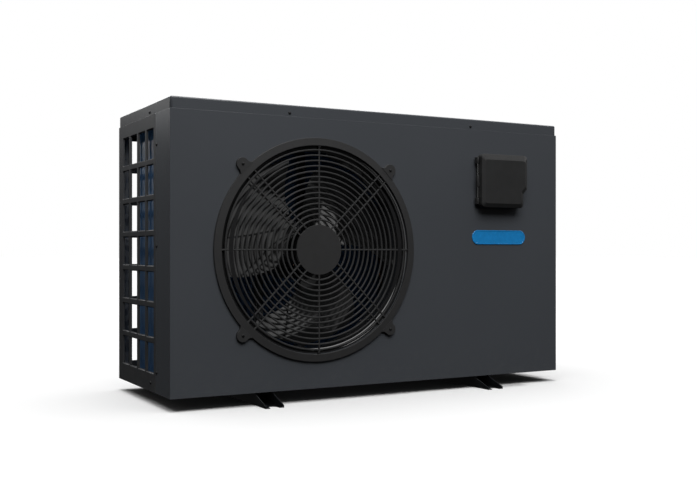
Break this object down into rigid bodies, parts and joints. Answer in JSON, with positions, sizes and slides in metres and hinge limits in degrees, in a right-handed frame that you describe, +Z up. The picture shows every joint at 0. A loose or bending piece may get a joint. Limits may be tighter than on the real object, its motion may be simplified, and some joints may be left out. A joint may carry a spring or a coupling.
{
  "type": "pool heat pump unit",
  "caption": "Front-discharge air-source heat pump cabinet for pools, with guarded axial fan, L-shaped coil behind grilles, hinged controller box and side water unions.",
  "frame": {"origin": "on the ground, under the centre of the overall box (cabinet, feet and unions)", "axes": "+Z up, the fan blows out towards -Y, the water unions stick out towards +X"},
  "size_m": [1.0046, 0.451, 0.605],
  "materials": {
    "cabinet_paint": "semi-gloss powder coat",
    "grille_paint": "satin moulded",
    "galvanised_steel": "dull zinc",
    "guard_plastic": "fine satin",
    "black_screws": "black zinc",
    "steel_bolts": "zinc",
    "fan_plastic": "satin",
    "shaft_steel": "ground",
    "blue_fins": "hydrophilic blue coating",
    "copper_tube": "drawn copper",
    "motor_paint": "satin",
    "compressor_paint": "gloss black",
    "black_rubber": "matte",
    "vessel_plastic": "white moulded",
    "union_plastic": "moulded",
    "titanium": "drawn",
    "valve_brass": "turned",
    "box_plastic": "moulded",
    "board_green": "solder mask",
    "terminal_plastic": "moulded",
    "capacitor_can": "drawn can",
    "controller_plastic": "satin gloss",
    "display_glass": "polished",
    "button_plastic": "satin",
    "badge_face": "gloss"
  },
  "bodies": {
    "cabinet": {"badge": "badge_face", "base_pan": "galvanised_steel", "cabinet_screws": "black_screws", "cable_gland": "union_plastic", "compressor": "compressor_paint", "compressor_cap": "controller_plastic", "compressor_rubbers": "black_rubber", "control_board": "board_green", "controller_base": "controller_plastic", "controller_display": "display_glass", "controller_faceplate": "controller_plastic", "controller_hinge_pin": "shaft_steel", "corner_post": "galvanised_steel", "discharge_pipe": "copper_tube", "drain_nozzle": "union_plastic", "electrical_box": "box_plastic", "evaporator_bends": "copper_tube", "evaporator_fins": "blue_fins", "evaporator_front_plate": "galvanised_steel", "evaporator_header": "copper_tube", "evaporator_pipe": "copper_tube", "evaporator_rear_plate": "galvanised_steel", "expansion_valve": "valve_brass", "fan_guard": "guard_plastic", "fan_motor": "motor_paint", "filter_drier": "copper_tube", "flow_switch": "union_plastic", "foot_bolts": "steel_bolts", "foot_rail_left": "cabinet_paint", "foot_rail_right": "cabinet_paint", "four_way_valve": "valve_brass", "front_panel": "cabinet_paint", "gas_pipe": "copper_tube", "guard_screws": "black_screws", "heat_exchanger_shell": "vessel_plastic", "inlet_pipe_socket": "union_plastic", "inlet_union_nut": "union_plastic", "left_grille": "grille_paint", "liquid_line": "copper_tube", "motor_bracket": "galvanised_steel", "outlet_pipe_socket": "union_plastic", "outlet_union_nut": "union_plastic", "partition_plate": "galvanised_steel", "rear_grille": "grille_paint", "run_capacitor": "capacitor_can", "service_panel": "cabinet_paint", "suction_accumulator": "compressor_paint", "suction_line": "copper_tube", "terminal_block": "terminal_plastic", "terminal_cover": "union_plastic", "titanium_coil": "titanium", "top_lid": "cabinet_paint"},
    "fan_rotor": {"fan_blades": "fan_plastic", "fan_shaft": "shaft_steel", "fan_nut": "shaft_steel"},
    "controller_lid": {"controller_cover": "controller_plastic"},
    "power_key": {"power_button": "button_plastic"},
    "mode_key": {"mode_button": "button_plastic"},
    "up_key": {"up_button": "button_plastic"},
    "down_key": {"down_button": "button_plastic"}
  },
  "joints": [
    {"name": "fan_spin", "type": "hinge", "parent": "cabinet", "child": "fan_rotor", "pos_m": [-0.183, -0.1, 0.3105], "axis": [0, -1, 0], "continuous": true},
    {"name": "cover_hinge", "type": "hinge", "parent": "cabinet", "child": "controller_lid", "pos_m": [0.213, -0.189, 0.466], "axis": [0, 0, -1], "range_deg": [0, 120]},
    {"name": "power_press", "type": "slide", "parent": "cabinet", "child": "power_key", "axis": [0, 1, 0], "range_m": [0, 0.0012], "stiffness_N_per_m": 400},
    {"name": "mode_press", "type": "slide", "parent": "cabinet", "child": "mode_key", "axis": [0, 1, 0], "range_m": [0, 0.0012], "stiffness_N_per_m": 400},
    {"name": "up_press", "type": "slide", "parent": "cabinet", "child": "up_key", "axis": [0, 1, 0], "range_m": [0, 0.0012], "stiffness_N_per_m": 400},
    {"name": "down_press", "type": "slide", "parent": "cabinet", "child": "down_key", "axis": [0, 1, 0], "range_m": [0, 0.0012], "stiffness_N_per_m": 400}
  ]
}
